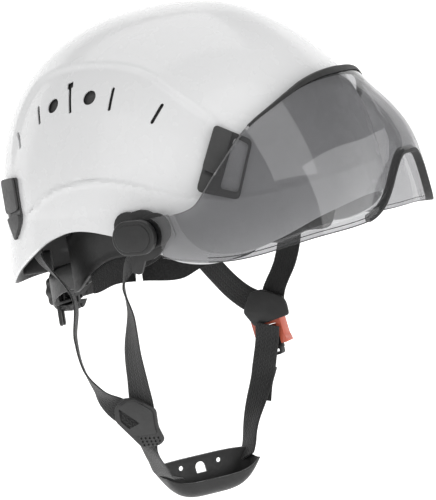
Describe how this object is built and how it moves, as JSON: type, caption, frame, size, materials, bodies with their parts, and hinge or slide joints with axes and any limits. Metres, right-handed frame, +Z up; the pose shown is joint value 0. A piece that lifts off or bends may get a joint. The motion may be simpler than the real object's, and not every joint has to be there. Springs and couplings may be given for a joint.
{
  "type": "hard hat",
  "caption": "Vented climbing-style hard hat with textile crown straps, ratchet headband, tip-up half-face visor and four-point chin strap with buckle.",
  "frame": {"origin": "centre of the head opening at the level where the shell is widest; the head's seat", "axes": "+Z up to the crown, -Y the way the face looks, +X to the wearer's left"},
  "size_m": [0.252, 0.3162, 0.3541],
  "materials": {
    "shell_white": "gloss moulded ABS",
    "black_plastic": "satin moulded nylon",
    "grey_plastic": "fine-grained moulded nylon",
    "smoke_lens": "clear smoke-tinted polycarbonate",
    "rubber": "soft elastomer",
    "steel": "spring steel",
    "webbing": "woven polyester webbing",
    "foam": "cloth over foam",
    "buckle_red": "moulded acetal"
  },
  "bodies": {
    "helmet": {"shell": "shell_white", "vent_screen_left": "grey_plastic", "vent_screen_right": "grey_plastic", "lamp_clip_base_front_left": "grey_plastic", "lamp_clip_base_front_right": "grey_plastic", "lamp_clip_base_rear_left": "grey_plastic", "lamp_clip_base_rear_right": "grey_plastic", "visor_bracket_left": "black_plastic", "visor_bracket_right": "black_plastic", "headband": "black_plastic", "brow_pad": "foam", "side_pad_left": "foam", "side_pad_right": "foam", "hanger_front_left": "black_plastic", "hanger_front_right": "black_plastic", "hanger_side_left": "black_plastic", "hanger_side_right": "black_plastic", "hanger_rear_left": "black_plastic", "hanger_rear_right": "black_plastic", "crown_strap_side_to_side": "webbing", "crown_strap_front_left": "webbing", "crown_strap_front_right": "webbing", "crown_pad": "foam", "strap_anchor_front_left": "black_plastic", "strap_anchor_front_right": "black_plastic", "strap_anchor_rear_left": "black_plastic", "strap_anchor_rear_right": "black_plastic", "chin_strap_front_left": "webbing", "chin_strap_front_right": "webbing", "chin_strap_rear_left": "webbing", "chin_strap_rear_right": "webbing", "strap_adjuster_left": "black_plastic", "strap_adjuster_right": "black_plastic", "buckle_socket": "buckle_red"},
    "visor_arms": {"visor_washer_left": "steel", "visor_washer_right": "steel", "visor_arm_left": "black_plastic", "visor_arm_right": "black_plastic", "visor_knob_left": "black_plastic", "visor_knob_right": "black_plastic"},
    "visor": {"visor_lens": "smoke_lens", "visor_seal": "rubber", "nose_trim": "rubber"},
    "nape": {"nape_cradle": "black_plastic", "nape_pad": "foam", "ratchet_cover": "black_plastic"},
    "dial": {"ratchet_dial": "grey_plastic", "ratchet_pinion": "grey_plastic"},
    "tail_left": {"band_tail_left": "black_plastic"},
    "tail_right": {"band_tail_right": "black_plastic"},
    "flap_front_left": {"lamp_clip_flap_front_left": "grey_plastic"},
    "flap_front_right": {"lamp_clip_flap_front_right": "grey_plastic"},
    "flap_rear_left": {"lamp_clip_flap_rear_left": "grey_plastic"},
    "flap_rear_right": {"lamp_clip_flap_rear_right": "grey_plastic"},
    "button": {"buckle_button": "buckle_red"},
    "chin": {"buckle_plug": "black_plastic", "chin_strap_lower_left": "webbing", "chin_strap_tail_left": "webbing", "chin_strap_lower_right": "webbing", "chin_cup": "black_plastic"}
  },
  "joints": [
    {"name": "visor_tilt", "type": "hinge", "parent": "helmet", "child": "visor_arms", "pos_m": [0, -0.025, -0.016], "axis": [-1, 0, 0], "range_deg": [0, 55]},
    {"name": "visor_slide", "type": "slide", "parent": "visor_arms", "child": "visor", "axis": [0, -0.9659, 0.2588], "range_m": [0, 0.0212]},
    {"name": "ratchet_tighten", "type": "slide", "parent": "helmet", "child": "nape", "axis": [0, -1, 0], "range_m": [0, 0.006]},
    {"name": "dial_turn", "type": "hinge", "parent": "nape", "child": "dial", "pos_m": [0, 0.124, -0.062], "axis": [0, 1, 0], "range_deg": [0, 57.4]},
    {"name": "tail_left_slide", "type": "slide", "parent": "helmet", "child": "tail_left", "axis": [-0.7071, -0.7071, 0], "range_m": [0, 0.00849]},
    {"name": "tail_right_slide", "type": "slide", "parent": "helmet", "child": "tail_right", "axis": [0.7071, -0.7071, 0], "range_m": [0, 0.00849]},
    {"name": "flap_front_left_lift", "type": "hinge", "parent": "helmet", "child": "flap_front_left", "pos_m": [0.0865, -0.08233, 0.04429], "axis": [-0.3784, -0.8342, -0.4012], "range_deg": [0, 4], "stiffness_Nm_per_rad": 0.08},
    {"name": "flap_front_right_lift", "type": "hinge", "parent": "helmet", "child": "flap_front_right", "pos_m": [-0.0865, -0.08233, 0.04429], "axis": [-0.3784, 0.8342, 0.4012], "range_deg": [0, 4], "stiffness_Nm_per_rad": 0.08},
    {"name": "flap_rear_left_lift", "type": "hinge", "parent": "helmet", "child": "flap_rear_left", "pos_m": [0.0811, 0.09833, 0.02845], "axis": [0.5572, -0.8177, 0.1447], "range_deg": [0, 4], "stiffness_Nm_per_rad": 0.08},
    {"name": "flap_rear_right_lift", "type": "hinge", "parent": "helmet", "child": "flap_rear_right", "pos_m": [-0.0811, 0.09833, 0.02845], "axis": [0.5572, 0.8177, -0.1447], "range_deg": [0, 4], "stiffness_Nm_per_rad": 0.08},
    {"name": "chin_release", "type": "hinge", "parent": "helmet", "child": "chin", "pos_m": [-0.066, 0.024, -0.166], "axis": [0.3311, 0.9154, -0.2291], "range_deg": [0, 50]},
    {"name": "buckle_press", "type": "slide", "parent": "helmet", "child": "button", "axis": [-1, 0, 0], "range_m": [0, 0.002], "stiffness_N_per_m": 400}
  ],
  "couplings": [
    {"joint": "visor_slide", "follows": "visor_tilt", "m_per_rad": 0.022},
    {"joint": "dial_turn", "follows": "ratchet_tighten", "rad_per_m": 166.67},
    {"joint": "tail_left_slide", "follows": "ratchet_tighten", "ratio": 1.4142},
    {"joint": "tail_right_slide", "follows": "ratchet_tighten", "ratio": 1.4142}
  ]
}
